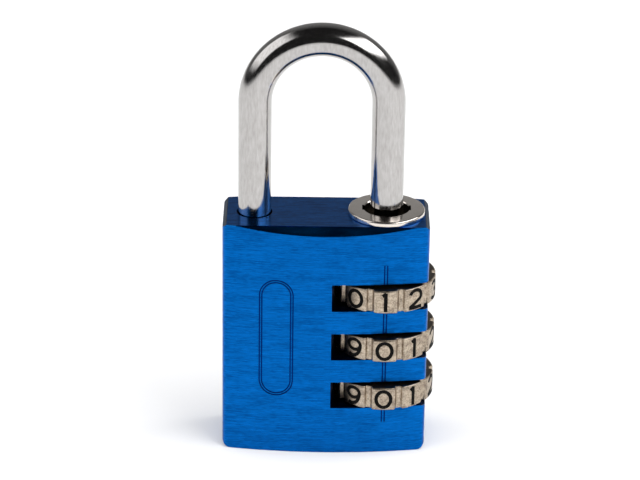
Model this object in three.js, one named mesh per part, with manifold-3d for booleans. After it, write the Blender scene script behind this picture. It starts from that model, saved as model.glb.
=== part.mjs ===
// A three-wheel combination padlock, in millimetres.
// The origin is the middle of the casing's base. +Z is up and -Y is the front, where the code is read.
import * as THREE from 'three';
import { mergeVertices } from 'three/addons/utils/BufferGeometryUtils.js';
import Module from 'manifold-3d';

const wasm = await Module();
wasm.setup();

// ---- Casing ----
const casingWidth = 30;
const casingHeight = 36;
const casingEdgeDepth = 10.3; // depth at the left and right edges, before the faces bulge
const faceBulge = 1.45; // how far each face swells at its middle
const cornerRadius = 0.9; // upright corners, in plan
const topFlatDepth = 11;
const topBevelAngle = 45;
const topSideChamferWidth = 0.6;
const topSideChamferDrop = 0.5;
const baseEdgeRadius = 1.2;

// ---- Number wheels ----
const wheelCount = 3;
const wheelPitch = 7.83;
const topWheelSlotCentre = 25.13;
const wheelSlotHeight = 4.15;
const wheelRadius = 7.5;
const wheelHeight = 3.6;
const wheelFloorGap = 0.13; // under each wheel
const wheelEndGap = 0.3; // between a wheel and the blind end of its slot
const wheelRimChamfer = 0.35;
const digitCount = 10;
const wheelProtrusion = 1.25; // past the casing's right side
const digitGrooveWidth = 1.2; // at the pads' surface
const digitGrooveFloor = 0.7;
const digitGrooveDepth = 0.55;

// ---- Shackle ----
const shackleDiameter = 4.8;
const legSpacing = 19.2; // between the two leg centres
const shackleRise = 29; // top of the arch above the casing
const toeDepth = 6.8; // the short leg's reach into the casing
const toeHoleDepth = 9.2;
const toeHoleClearance = 0.2;
const toeChamfer = 0.5;
const spindleRadius = 1.85;
const shoulderGap = 0.35; // between the leg's shoulder and the collar
const shoulderChamfer = 0.25;
const spindleTail = 0.6; // below the lowest lug
const lugRadius = 3.4;
const lugWidth = 1.5;
const lugHeight = 1.8;

// ---- Collar ----
const collarFlangeRadius = 5.6;
const collarFlangeThickness = 0.78;
const collarRimChamfer = 0.22;
const collarMouthRadius = 3.3;
const collarMouthDepth = 2;

// ---- Code stack ----
const stackBoreRadius = 4.6;
const sleeveCoreRadius = 3.95;
const splineHeight = 0.45;
const splineHalfAngle = 5.5; // of each rib on a sleeve
const splineSideClearance = 1.5; // in degrees
const sleeveHeight = 5.6;
const basePlugThickness = 1.5;
const basePlugRecess = 0.3;
const springWire = 0.5;
const springTurns = 3;
const seatThickness = 0.9;

// ---- Detent springs ----
const detentThickness = 0.2;
const detentLength = 6.4;
const detentHeight = 2.4;
const detentRecessDepth = 0.4;
const detentBumpHalfWidth = 0.85;
const detentBumpTip = 0.15; // half the flat at the crest
const detentBite = 0.25; // how far the crest enters a wheel's groove

// ---- Engraving ----
const engravingDepth = 0.12;
const engravingWidth = 0.2;
const indexLineSpacing = 0.42;
const indexLineBottom = 5;
const indexLineTop = 30.25;
const panelLeft = -9.65;
const panelRight = -4.57;
const panelBottom = 9.2;
const panelTop = 27.86;
const panelLineSpacing = 0.34;

// ---- Clearances ----
const slidingClearance = 0.15; // radial, spindle in sleeve and lug in gate
const seatGap = 0.03; // between faces that rest on each other
const pressGap = 0.05; // radial, at a pressed joint
const stackGap = 0.15; // between the pieces of the code stack
const cutMargin = 1; // how far a cutter runs past the surface

// ---- Places worked out from the sizes above ----
const digitStep = 360 / digitCount;
const frontAngle = -90; // a digit faces -Y
const halfWidth = casingWidth / 2;
const longLegX = halfWidth + wheelProtrusion - wheelRadius; // also the axis of the wheels
const shortLegX = longLegX - legSpacing;
const archRadius = legSpacing / 2;
const legRadius = shackleDiameter / 2;
const archCentreX = (longLegX + shortLegX) / 2;
const archCentreZ = casingHeight + shackleRise - legRadius - archRadius;
const toeBottom = casingHeight - toeDepth;
const lugGateRadius = lugRadius + slidingClearance;
const sleeveBore = spindleRadius + slidingClearance;
const ribRadius = sleeveCoreRadius + splineHeight;
const lugSpace = wheelPitch - sleeveHeight; // free height between two sleeves
const shackleLift = wheelPitch; // every lug rises into the next lug's space
const collarBottomFace = casingHeight + seatGap;
const collarTop = collarBottomFace + collarFlangeThickness;
const shoulderZ = collarTop + shoulderGap;

function slotCentre(i) {
  return topWheelSlotCentre - i * wheelPitch;
}

function wheelCentre(i) {
  return slotCentre(i) - wheelSlotHeight / 2 + wheelFloorGap + wheelHeight / 2;
}

function sleeveBottom(i) {
  return wheelCentre(i) - sleeveHeight / 2;
}

function lugCentre(i) {
  return sleeveBottom(i) - lugSpace / 2;
}

const lastSleeve = wheelCount - 1;
const topLugAtLift = lugCentre(0) + lugHeight / 2 + shackleLift;
const barrelBottom = topLugAtLift + stackGap;
const spindleBottom = lugCentre(lastSleeve) - lugHeight / 2 - spindleTail;
const seatTop = sleeveBottom(lastSleeve) - stackGap;
const basePlugTop = basePlugRecess + basePlugThickness;
const ringInner = lugGateRadius + slidingClearance;
const ringOuter = stackBoreRadius - slidingClearance;

// ---- Solids ----
function solid(geometry) {
  const bare = geometry.clone();
  bare.deleteAttribute('normal');
  bare.deleteAttribute('uv');
  const merged = mergeVertices(bare);
  const index = merged.index.array;
  const triangles = [];
  for (let i = 0; i < index.length; i += 3) {
    const [a, b, c] = [index[i], index[i + 1], index[i + 2]];
    if (a !== b && b !== c && c !== a) triangles.push(a, b, c);
  }
  return new wasm.Manifold(new wasm.Mesh({
    numProp: 3,
    vertProperties: new Float32Array(merged.attributes.position.array),
    triVerts: new Uint32Array(triangles),
  }));
}

function geometryOf(manifold) {
  const mesh = manifold.getMesh();
  const geometry = new THREE.BufferGeometry();
  geometry.setAttribute('position', new THREE.BufferAttribute(new Float32Array(mesh.vertProperties), 3));
  geometry.setIndex(new THREE.BufferAttribute(new Uint32Array(mesh.triVerts), 1));
  geometry.computeVertexNormals();
  return geometry;
}

function box(x0, x1, y0, y1, z0, z1) {
  const geometry = new THREE.BoxGeometry(x1 - x0, y1 - y0, z1 - z0);
  geometry.translate((x0 + x1) / 2, (y0 + y1) / 2, (z0 + z1) / 2);
  return solid(geometry);
}

// A plan outline stood up between two heights.
function prism(shape, z0, z1, curveSegments = 12) {
  const geometry = new THREE.ExtrudeGeometry(shape, { depth: z1 - z0, bevelEnabled: false, curveSegments });
  geometry.translate(0, 0, z0);
  return solid(geometry);
}

// A side outline, drawn in Y and Z, run from x0 to x1.
function alongX(shape, x0, x1) {
  const geometry = new THREE.ExtrudeGeometry(shape, { depth: x1 - x0, bevelEnabled: false });
  const turn = new THREE.Matrix4().makeBasis(
    new THREE.Vector3(0, 1, 0), new THREE.Vector3(0, 0, 1), new THREE.Vector3(1, 0, 0));
  geometry.applyMatrix4(turn);
  geometry.translate(x0, 0, 0);
  return solid(geometry);
}

// A front outline, drawn in X and Z, run from y0 to y1.
function alongY(shape, y0, y1, curveSegments = 12) {
  const geometry = new THREE.ExtrudeGeometry(shape, { depth: y1 - y0, bevelEnabled: false, curveSegments });
  const turn = new THREE.Matrix4().makeBasis(
    new THREE.Vector3(1, 0, 0), new THREE.Vector3(0, 0, 1), new THREE.Vector3(0, -1, 0));
  geometry.applyMatrix4(turn);
  geometry.translate(0, y1, 0);
  return solid(geometry);
}

// A turned piece about an upright axis: profile points are [radius, height], from axis to axis.
function turned(profile, x, segments = 48) {
  const points = profile.map(([radius, height]) => new THREE.Vector2(radius, height));
  const geometry = new THREE.LatheGeometry(points, segments);
  geometry.rotateX(Math.PI / 2);
  geometry.translate(x, 0, 0);
  return solid(geometry);
}

function disc(radius, z0, z1, x, segments = 48) {
  return turned([[0, z0], [radius, z0], [radius, z1], [0, z1]], x, segments);
}

function polygon(points) {
  return new THREE.Shape(points.map(([a, b]) => new THREE.Vector2(a, b)));
}

// ---- Materials ----
function metal(colour, roughness, metalness = 1) {
  return new THREE.MeshStandardMaterial({ color: colour, roughness, metalness });
}

const blueAnodising = () => metal(0x045fb0, 0.38, 0.85);
const chrome = () => metal(0xc8c4c2, 0.08);
const nickel = () => metal(0x8a827c, 0.22);
const castZinc = () => metal(0xa19079, 0.4);
const brass = () => metal(0xb5924c, 0.35);
const steel = () => metal(0x9a9a98, 0.3);

// ---- Casing ----
// Bulged front and back faces, rounded upright corners. An inset draws it thinner front to back.
function casingOutline(inset) {
  const edge = casingEdgeDepth / 2 - inset;
  const faceRadius = (halfWidth ** 2 + faceBulge ** 2) / (2 * faceBulge);
  const centreY = faceRadius - edge - faceBulge;
  const cornerX = halfWidth - cornerRadius;
  const reach = faceRadius - cornerRadius;
  const cornerY = Math.sqrt(reach ** 2 - cornerX ** 2) - centreY;
  const sweep = Math.asin(cornerX / reach);
  const shape = new THREE.Shape();
  shape.absarc(0, centreY, faceRadius, -Math.PI / 2 - sweep, -Math.PI / 2 + sweep, false);
  shape.absarc(cornerX, -cornerY, cornerRadius, -Math.PI / 2 + sweep, 0, false);
  shape.absarc(cornerX, cornerY, cornerRadius, 0, Math.PI / 2 - sweep, false);
  shape.absarc(0, -centreY, faceRadius, Math.PI / 2 - sweep, Math.PI / 2 + sweep, false);
  shape.absarc(-cornerX, cornerY, cornerRadius, Math.PI / 2 + sweep, Math.PI, false);
  shape.absarc(-cornerX, -cornerY, cornerRadius, Math.PI, Math.PI * 1.5 - sweep, false);
  return shape;
}

function stadium(x0, x1, z0, z1) {
  const radius = (x1 - x0) / 2;
  const shape = new THREE.Shape();
  shape.absarc(x0 + radius, z1 - radius, radius, 0, Math.PI, false);
  shape.absarc(x0 + radius, z0 + radius, radius, Math.PI, Math.PI * 2, false);
  return shape;
}

function stadiumLine(step) {
  const [x0, x1] = [panelLeft + step, panelRight - step];
  const [z0, z1] = [panelBottom + step, panelTop - step];
  const shape = stadium(x0, x1, z0, z1);
  shape.holes.push(stadium(x0 + engravingWidth, x1 - engravingWidth, z0 + engravingWidth, z1 - engravingWidth));
  const front = -casingEdgeDepth / 2 - faceBulge - cutMargin;
  return alongY(shape, front, 0, 8);
}

function indexLine(side) {
  const centre = longLegX + side * indexLineSpacing / 2;
  const front = -casingEdgeDepth / 2 - faceBulge - cutMargin;
  return box(centre - engravingWidth / 2, centre + engravingWidth / 2, front, 0, indexLineBottom, indexLineTop);
}

function engraving() {
  const lines = indexLine(-1).add(indexLine(1)).add(stadiumLine(0)).add(stadiumLine(panelLineSpacing));
  return lines.subtract(prism(casingOutline(engravingDepth), -cutMargin, casingHeight + cutMargin));
}

function topBevel(side) {
  const start = topFlatDepth / 2;
  const reach = casingEdgeDepth / 2 + faceBulge + cutMargin - start;
  const drop = reach * Math.tan(THREE.MathUtils.degToRad(topBevelAngle));
  const points = [[start, 0], [start + reach, -drop], [start + reach, cutMargin], [start, cutMargin]];
  const shape = polygon(points.map(([y, z]) => [side * y, casingHeight + z]));
  return alongX(shape, -halfWidth - cutMargin, halfWidth + cutMargin);
}

function topSideChamfer(side) {
  const inner = halfWidth - topSideChamferWidth;
  const outer = halfWidth + cutMargin;
  const drop = topSideChamferDrop * (outer - inner) / topSideChamferWidth;
  const points = [[inner, 0], [outer, -drop], [outer, cutMargin], [inner, cutMargin]];
  const shape = polygon(points.map(([x, z]) => [side * x, casingHeight + z]));
  return alongY(shape, -casingEdgeDepth, casingEdgeDepth);
}

function baseEdge(side) {
  const inner = halfWidth - baseEdgeRadius;
  const outer = halfWidth + cutMargin;
  const [x0, x1] = side > 0 ? [inner, outer] : [-outer, -inner];
  const corner = box(x0, x1, -casingEdgeDepth, casingEdgeDepth, -cutMargin, baseEdgeRadius);
  const round = new THREE.Shape();
  round.absarc(side * inner, baseEdgeRadius, baseEdgeRadius, 0, Math.PI * 2, false);
  return corner.subtract(alongY(round, -casingEdgeDepth - cutMargin, casingEdgeDepth + cutMargin));
}

const slotEndX = longLegX - wheelRadius - wheelEndGap;

function wheelSlot(i) {
  const z = slotCentre(i);
  const side = casingEdgeDepth / 2 + faceBulge + cutMargin;
  return box(slotEndX, halfWidth + cutMargin, -side, side, z - wheelSlotHeight / 2, z + wheelSlotHeight / 2);
}

const detentBackX = slotEndX - detentRecessDepth;

function detentRecess(i) {
  const half = detentLength / 2 + slidingClearance;
  const rise = detentHeight / 2 + slidingClearance;
  const z = wheelCentre(i);
  return box(detentBackX, slotEndX + pressGap, -half, half, z - rise, z + rise);
}

function buildCasing() {
  let body = prism(casingOutline(0), 0, casingHeight, 16);
  for (const side of [-1, 1]) {
    body = body.subtract(topBevel(side)).subtract(topSideChamfer(side)).subtract(baseEdge(side));
  }
  for (let i = 0; i < wheelCount; i += 1) {
    body = body.subtract(wheelSlot(i)).subtract(detentRecess(i));
  }
  const toeHole = disc(legRadius + toeHoleClearance, casingHeight - toeHoleDepth, casingHeight + cutMargin, shortLegX);
  const stackBore = disc(stackBoreRadius, -cutMargin, casingHeight + cutMargin, longLegX, 64);
  return body.subtract(toeHole).subtract(stackBore).subtract(engraving());
}

// ---- Number wheels ----
// Raised digit pads between straight grooves, and a splined bore that drives the code sleeve.
function splineOutline(core, height, halfAngle) {
  const shape = new THREE.Shape();
  for (let i = 0; i < digitCount; i += 1) {
    const middle = THREE.MathUtils.degToRad(i * digitStep);
    const half = THREE.MathUtils.degToRad(halfAngle);
    const next = THREE.MathUtils.degToRad((i + 1) * digitStep);
    shape.absarc(0, 0, core + height, middle - half, middle + half, false);
    shape.absarc(0, 0, core, middle + half, next - half, false);
  }
  return shape;
}

function splinePrism(core, height, halfAngle, z0, z1) {
  const geometry = new THREE.ExtrudeGeometry(
    splineOutline(core, height, halfAngle), { depth: z1 - z0, bevelEnabled: false, curveSegments: 2 });
  geometry.translate(longLegX, 0, z0);
  return solid(geometry);
}

function buildGrooveCutter(i, digit) {
  const flare = (digitGrooveWidth - digitGrooveFloor) / 2 / digitGrooveDepth;
  const floor = wheelRadius - digitGrooveDepth;
  const mouth = wheelRadius + cutMargin;
  const floorHalf = digitGrooveFloor / 2;
  const mouthHalf = digitGrooveWidth / 2 + flare * cutMargin;
  const height = wheelHeight + cutMargin;
  const shape = new THREE.Shape([
    new THREE.Vector2(floor, -floorHalf), new THREE.Vector2(mouth, -mouthHalf),
    new THREE.Vector2(mouth, mouthHalf), new THREE.Vector2(floor, floorHalf),
  ]);
  const geometry = new THREE.ExtrudeGeometry(shape, { depth: height, bevelEnabled: false });
  geometry.rotateZ(THREE.MathUtils.degToRad(frontAngle + (digit + 0.5) * digitStep));
  geometry.translate(longLegX, 0, wheelCentre(i) - height / 2);
  return solid(geometry);
}

function buildWheel(i) {
  const z0 = wheelCentre(i) - wheelHeight / 2;
  const z1 = z0 + wheelHeight;
  const rim = wheelRadius - wheelRimChamfer;
  let wheel = turned([
    [0, z0], [rim, z0], [wheelRadius, z0 + wheelRimChamfer],
    [wheelRadius, z1 - wheelRimChamfer], [rim, z1], [0, z1],
  ], longLegX, 80);
  for (let digit = 0; digit < digitCount; digit += 1) {
    wheel = wheel.subtract(buildGrooveCutter(i, digit));
  }
  const bore = splinePrism(sleeveCoreRadius + slidingClearance, splineHeight,
    splineHalfAngle + splineSideClearance, z0 - cutMargin, z1 + cutMargin);
  return wheel.subtract(bore);
}

// ---- Code sleeves ----
// Ribs outside for the wheel, a plain bore for the spindle and one gate that a lug can pass.
function buildSleeve(i) {
  const z0 = sleeveBottom(i);
  const z1 = z0 + sleeveHeight;
  const gateHalf = lugWidth / 2 + slidingClearance;
  const body = splinePrism(sleeveCoreRadius, splineHeight, splineHalfAngle, z0, z1);
  const bore = disc(sleeveBore, z0 - cutMargin, z1 + cutMargin, longLegX, 32);
  const gate = box(longLegX - gateHalf, longLegX + gateHalf, 0, lugGateRadius, z0 - cutMargin, z1 + cutMargin);
  return body.subtract(bore).subtract(gate);
}

// ---- Rings of the code stack ----
function ring(z0, z1) {
  return disc(ringOuter, z0, z1, longLegX).subtract(disc(ringInner, z0 - cutMargin, z1 + cutMargin, longLegX));
}

function buildTopSpacer() {
  return ring(sleeveBottom(0) + sleeveHeight + stackGap, barrelBottom - stackGap);
}

function buildSpacer(i) {
  return ring(sleeveBottom(i + 1) + sleeveHeight + stackGap, sleeveBottom(i) - stackGap);
}

function buildSpringSeat() {
  return ring(seatTop - seatThickness, seatTop);
}

// ---- Reset spring ----
// Flat-laid end turns are left out, so the coil runs at one pitch from plug to seat.
class Helix extends THREE.Curve {
  constructor(radius, z0, z1, turns) {
    super();
    this.radius = radius;
    this.z0 = z0;
    this.z1 = z1;
    this.turns = turns;
  }

  getPoint(t, target = new THREE.Vector3()) {
    const angle = t * this.turns * Math.PI * 2;
    const z = this.z0 + t * (this.z1 - this.z0);
    return target.set(this.radius * Math.cos(angle), this.radius * Math.sin(angle), z);
  }
}

function buildResetSpring() {
  const rest = springWire / 2 + stackGap;
  const radius = (ringInner + ringOuter) / 2;
  const path = new Helix(radius, basePlugTop + rest, seatTop - seatThickness - rest, springTurns);
  const wire = new THREE.Shape();
  wire.absarc(0, 0, springWire / 2, 0, Math.PI * 2, false);
  const steps = springTurns * 20;
  const geometry = new THREE.ExtrudeGeometry(
    wire, { steps, extrudePath: path, curveSegments: 4, bevelEnabled: false });
  geometry.translate(longLegX, 0, 0);
  return solid(geometry);
}

// ---- Base plug ----
function buildBasePlug() {
  return disc(stackBoreRadius - pressGap, basePlugRecess, basePlugTop, longLegX);
}

// ---- Collar ----
// A flanged bush: its keyways let the lugs through only with the shackle turned a quarter turn.
function buildCollar() {
  const barrel = stackBoreRadius - pressGap;
  const rim = collarFlangeRadius - collarRimChamfer;
  const body = turned([
    [0, barrelBottom], [barrel, barrelBottom], [barrel, collarBottomFace],
    [collarFlangeRadius, collarBottomFace], [collarFlangeRadius, collarTop - collarRimChamfer],
    [rim, collarTop], [0, collarTop],
  ], longLegX, 64);
  const keyHalf = lugWidth / 2 + slidingClearance;
  const [low, high] = [barrelBottom - cutMargin, collarTop + cutMargin];
  const bore = disc(sleeveBore, low, high, longLegX);
  const mouth = disc(collarMouthRadius, collarTop - collarMouthDepth, high, longLegX);
  const keyways = box(longLegX - lugGateRadius, longLegX + lugGateRadius, -keyHalf, keyHalf, low, high);
  return body.subtract(bore).subtract(mouth).subtract(keyways);
}

// ---- Shackle ----
// Short leg up, round the arch and down the long leg, spaced evenly along its length.
class ShacklePath extends THREE.Curve {
  getPoint(t, target = new THREE.Vector3()) {
    const rise = archCentreZ - (toeBottom + toeChamfer);
    const bend = Math.PI * archRadius;
    const fall = archCentreZ - (shoulderZ + shoulderChamfer);
    const run = t * (rise + bend + fall);
    if (run <= rise) return target.set(shortLegX, 0, toeBottom + toeChamfer + run);
    if (run >= rise + bend) return target.set(longLegX, 0, archCentreZ - (run - rise - bend));
    const angle = Math.PI - (run - rise) / archRadius;
    return target.set(archCentreX + archRadius * Math.cos(angle), 0, archCentreZ + archRadius * Math.sin(angle));
  }
}

function lug(i) {
  const z = lugCentre(i);
  const half = lugWidth / 2;
  return box(longLegX - half, longLegX + half, spindleRadius / 2, lugRadius, z - lugHeight / 2, z + lugHeight / 2);
}

function buildShackle() {
  const section = new THREE.Shape();
  section.absarc(0, 0, legRadius, 0, Math.PI * 2, false);
  const bar = new THREE.ExtrudeGeometry(
    section, { steps: 56, extrudePath: new ShacklePath(), curveSegments: 12, bevelEnabled: false });
  const inner = legRadius - seatGap; // ends start just inside the bar
  const toe = turned([
    [0, toeBottom], [legRadius - toeChamfer, toeBottom], [inner, toeBottom + toeChamfer],
    [inner, toeBottom + 2 * toeChamfer], [0, toeBottom + 2 * toeChamfer],
  ], shortLegX, 24);
  const spindle = turned([
    [0, spindleBottom], [spindleRadius, spindleBottom], [spindleRadius, shoulderZ],
    [legRadius - shoulderChamfer, shoulderZ], [inner, shoulderZ + shoulderChamfer],
    [inner, shoulderZ + 2 * shoulderChamfer], [0, shoulderZ + 2 * shoulderChamfer],
  ], longLegX, 24);
  let shackle = solid(bar).add(toe).add(spindle);
  for (let i = 0; i < wheelCount; i += 1) shackle = shackle.add(lug(i));
  return shackle;
}

// ---- Detent springs ----
// A bowed strip in the blind end of each slot, with a crest that clicks into the wheel's grooves.
function buildDetentSpring(i) {
  const back = detentBackX + pressGap;
  const crest = longLegX - wheelRadius + detentBite;
  const half = detentLength / 2;
  const [base, tip] = [detentBumpHalfWidth, detentBumpTip];
  const thick = detentThickness;
  const points = [
    [back, -half], [back + thick, -half], [back + thick, -base], [crest, -tip], [crest, tip],
    [back + thick, base], [back + thick, half], [back, half], [back, base - thick],
    [crest - thick, 0], [back, thick - base],
  ];
  const z = wheelCentre(i);
  return prism(polygon(points), z - detentHeight / 2, z + detentHeight / 2);
}

// ---- The assembly ----
const padlock = new THREE.Group();

function place(name, manifold, material) {
  const mesh = new THREE.Mesh(geometryOf(manifold), material);
  mesh.name = name;
  padlock.add(mesh);
}

place('casing', buildCasing(), blueAnodising());
place('base_plug', buildBasePlug(), blueAnodising());
place('collar', buildCollar(), nickel());
place('shackle', buildShackle(), chrome());
place('top_spacer', buildTopSpacer(), steel());
for (let i = 0; i < wheelCount; i += 1) {
  place(`number_wheel_${i + 1}`, buildWheel(i), castZinc());
  place(`code_sleeve_${i + 1}`, buildSleeve(i), brass());
  place(`detent_spring_${i + 1}`, buildDetentSpring(i), steel());
  if (i < lastSleeve) place(`spacer_${i + 1}`, buildSpacer(i), steel());
}
place('spring_seat', buildSpringSeat(), steel());
place('reset_spring', buildResetSpring(), steel());

export default padlock;
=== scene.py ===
import math

import bmesh
import bpy
from mathutils import Matrix, Vector


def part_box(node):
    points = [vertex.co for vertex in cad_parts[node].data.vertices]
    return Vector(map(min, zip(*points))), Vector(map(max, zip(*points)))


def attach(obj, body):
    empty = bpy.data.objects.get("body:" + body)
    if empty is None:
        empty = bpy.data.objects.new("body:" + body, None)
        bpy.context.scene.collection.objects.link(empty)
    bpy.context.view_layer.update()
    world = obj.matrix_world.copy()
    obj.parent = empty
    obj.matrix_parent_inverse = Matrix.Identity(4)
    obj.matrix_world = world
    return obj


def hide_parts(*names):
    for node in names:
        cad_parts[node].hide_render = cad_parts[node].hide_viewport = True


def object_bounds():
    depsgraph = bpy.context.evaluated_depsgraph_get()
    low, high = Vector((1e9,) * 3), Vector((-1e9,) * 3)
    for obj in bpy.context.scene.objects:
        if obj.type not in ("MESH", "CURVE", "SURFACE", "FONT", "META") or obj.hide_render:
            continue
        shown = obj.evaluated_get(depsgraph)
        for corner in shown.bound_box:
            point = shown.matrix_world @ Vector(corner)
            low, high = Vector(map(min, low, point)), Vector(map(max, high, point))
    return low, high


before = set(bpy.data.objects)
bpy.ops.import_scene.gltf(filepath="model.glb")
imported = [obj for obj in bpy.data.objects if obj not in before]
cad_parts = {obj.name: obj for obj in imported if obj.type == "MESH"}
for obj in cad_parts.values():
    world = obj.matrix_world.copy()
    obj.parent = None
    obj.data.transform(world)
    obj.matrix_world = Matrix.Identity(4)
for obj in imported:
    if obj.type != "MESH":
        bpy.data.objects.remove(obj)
cad_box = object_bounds()
MM = 0.001  # sizes are written in millimetres and used in metres

# ---- Studio ----
# A white table, a large soft light on each side and an even overhead fill that metal does not mirror.
# The room behind and above is dark, which is what draws the black bands on polished metal.


def linear(hex_colour):
    """An sRGB hex value as the linear RGBA that Blender's sockets take."""
    parts = [(hex_colour >> shift & 255) / 255 for shift in (16, 8, 0)]
    return tuple(c / 12.92 if c <= 0.04045 else ((c + 0.055) / 1.055) ** 2.4 for c in parts) + (1.0,)


def add(tree, kind, inputs=None, **settings):
    """Adds one node. inputs maps its sockets to values, or to the outputs that feed them."""
    made = tree.nodes.new(kind)
    for name, value in settings.items():
        setattr(made, name, value)
    for name, value in (inputs or {}).items():
        if isinstance(value, bpy.types.NodeSocket):
            tree.links.new(value, made.inputs[name])
        else:
            made.inputs[name].default_value = value
    return made


CAMERA_PLACE = Vector((-2.34, -391.15, 202.65)) * MM
CAMERA_TURN = math.radians(-0.216)
CAMERA_DIP = math.radians(23.63)
CAMERA_ROLL = math.radians(0.813)
CAMERA_LENS = 164.3  # on a 36 mm sensor

forward = Vector((
    -math.sin(CAMERA_TURN) * math.cos(CAMERA_DIP),
    math.cos(CAMERA_TURN) * math.cos(CAMERA_DIP),
    -math.sin(CAMERA_DIP),
))
level = Vector((math.cos(CAMERA_TURN), math.sin(CAMERA_TURN), 0))
upright = level.cross(forward)
camera_right = level * math.cos(CAMERA_ROLL) + upright * math.sin(CAMERA_ROLL)
camera_up = upright * math.cos(CAMERA_ROLL) - level * math.sin(CAMERA_ROLL)
camera_data = bpy.data.cameras.new("camera")
camera_data.lens = CAMERA_LENS
camera_data.clip_start = 0.01
camera = bpy.data.objects.new("camera", camera_data)
bpy.context.collection.objects.link(camera)
axes = Matrix((camera_right, camera_up, -forward)).transposed()
camera.matrix_world = Matrix.Translation(CAMERA_PLACE) @ axes.to_4x4()
bpy.context.scene.camera = camera
bpy.context.scene.view_settings.view_transform = "Standard"

TABLE_SIZE = 3.0
TABLE_WHITE = 0xF7F7F7
table_mesh = bpy.data.meshes.new("table")
half = TABLE_SIZE / 2
table_corners = [(-half, -half, 0), (half, -half, 0), (half, half, 0), (-half, half, 0)]
table_mesh.from_pydata(table_corners, [], [(0, 1, 2, 3)])
table = bpy.data.objects.new("table", table_mesh)
table.location.z = cad_box[0].z
bpy.context.collection.objects.link(table)
paper = bpy.data.materials.new("matt_white_paper")
paper.use_nodes = True
paper_shader = paper.node_tree.nodes["Principled BSDF"].inputs
paper_shader["Base Color"].default_value = linear(TABLE_WHITE)
paper_shader["Roughness"].default_value = 0.9
paper_shader["Specular IOR Level"].default_value = 0.1
table_mesh.materials.append(paper)

ROOM_WHITE = 0xFFFFFF
ROOM_FRONT = 0.019
ROOM_BACK = 0.3
ROOM_FADE = (0.2, 0.95)  # where the back wall's glow begins and is full, as a direction's Y
room = bpy.data.worlds.new("dark_room")
room.use_nodes = True
room.node_tree.nodes.clear()
direction = add(room.node_tree, "ShaderNodeTexCoord")
parted = add(room.node_tree, "ShaderNodeSeparateXYZ", {"Vector": direction.outputs["Generated"]})
depth = add(room.node_tree, "ShaderNodeMapRange", {
    "Value": parted.outputs["Y"], "From Min": ROOM_FADE[0], "From Max": ROOM_FADE[1],
    "To Min": ROOM_FRONT, "To Max": ROOM_BACK})
glow = add(room.node_tree, "ShaderNodeBackground", {
    "Color": linear(ROOM_WHITE), "Strength": depth.outputs["Result"]})
add(room.node_tree, "ShaderNodeOutputWorld", {"Surface": glow.outputs["Background"]})
bpy.context.scene.world = room

AIM = Vector((0, 0, 35)) * MM
SOFTBOX_SIDE_FADE = 0.1
SOFTBOX_RISE_FADE = 0.3


def softbox(name, azimuth, elevation, distance, width, height, radiance, mirrored=True):
    """A rectangular light that fades at its edges. Sizes in metres. Azimuth 0 is the front, 90 is +X."""
    data = bpy.data.lights.new(name, "AREA")
    data.use_nodes = True
    tree = data.node_tree
    spot = add(tree, "ShaderNodeNewGeometry")
    spot = add(tree, "ShaderNodeSeparateXYZ", {"Vector": spot.outputs["Parametric"]})
    fade = None
    for side, soft in (("X", SOFTBOX_SIDE_FADE), ("Y", SOFTBOX_RISE_FADE)):
        middle = add(tree, "ShaderNodeMath", {0: spot.outputs[side], 1: 0.5}, operation="SUBTRACT")
        middle = add(tree, "ShaderNodeMath", {0: middle.outputs[0]}, operation="ABSOLUTE")
        edge = add(tree, "ShaderNodeMapRange", {
            "Value": middle.outputs[0], "From Min": 0.5, "From Max": 0.5 - soft},
            interpolation_type="SMOOTHSTEP")
        both = {0: edge.outputs["Result"], 1: fade.outputs[0] if fade else 1.0}
        fade = add(tree, "ShaderNodeMath", both, operation="MULTIPLY")
    tree.links.new(fade.outputs[0], tree.nodes["Emission"].inputs["Strength"])
    data.shape = "RECTANGLE"
    data.size = width
    data.size_y = height
    data.energy = radiance * width * height * math.pi
    lamp = bpy.data.objects.new(name, data)
    bpy.context.collection.objects.link(lamp)
    turn, rise = math.radians(azimuth), math.radians(elevation)
    away = Vector((math.sin(turn) * math.cos(rise), -math.cos(turn) * math.cos(rise), math.sin(rise)))
    facing = away.to_track_quat("Z", "Y").to_matrix().to_4x4()
    lamp.matrix_world = Matrix.Translation(AIM + away * distance) @ facing
    lamp.visible_glossy = mirrored
    return lamp


softbox("left_softbox", -86, 36, 0.6, 0.76, 0.66, 1.6)
softbox("right_softbox", 72, 43, 0.6, 0.95, 0.4, 4.0)
softbox("overhead_fill", 0, 80, 0.9, 1.6, 1.6, 1.9, mirrored=False)

# ---- Casing ----
# The lock's body: one aluminium extrusion with a bulged front and back, sawn to length, bevelled,
# slotted for the wheels and bored, then brushed along its width and anodised blue.
CASING_EDGE_DEPTH = 10.3
FACE_BULGE = 1.45
CORNER_RADIUS = 0.9
TOP_FLAT_DEPTH = 11
TOP_SIDE_CHAMFER = (0.6, 0.5)
BASE_EDGE_RADIUS = 1.2
SLOT_HEIGHT = 4.15
SLOT_FLOOR_GAP = 0.13
SLOT_END_GAP = 0.3
TOE_HOLE_DEPTH = 9.2
TOE_HOLE_CLEARANCE = 0.2
EDGE_BREAK = 0.1
PAST = 1  # how far a cutter runs past what it cuts
FACE_STRIPS = 61  # an odd count keeps the strips' edges clear of the slots' blind ends
ENGRAVING_WIDTH = 0.2
ENGRAVING_DEPTH = 0.12
INDEX_LINE_SPACING = 0.42
INDEX_LINE_SPAN = (5, 30.25)
PANEL_X = (-9.65, -4.57)
PANEL_Z = (9.2, 27.86)
PANEL_LINE_SPACING = 0.34
BRUSH_LENGTH = 4.0
BRUSH_WIDTH = 0.11  # a real belt scratch is near 0.05 wide; drawn coarser so that it shows
BRUSH_PATCH = (7.0, 1.2)  # length and height of the belt's lighter and darker patches
BRUSH_ANISOTROPY = 0.9  # each highlight is drawn out across the scratches
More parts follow.
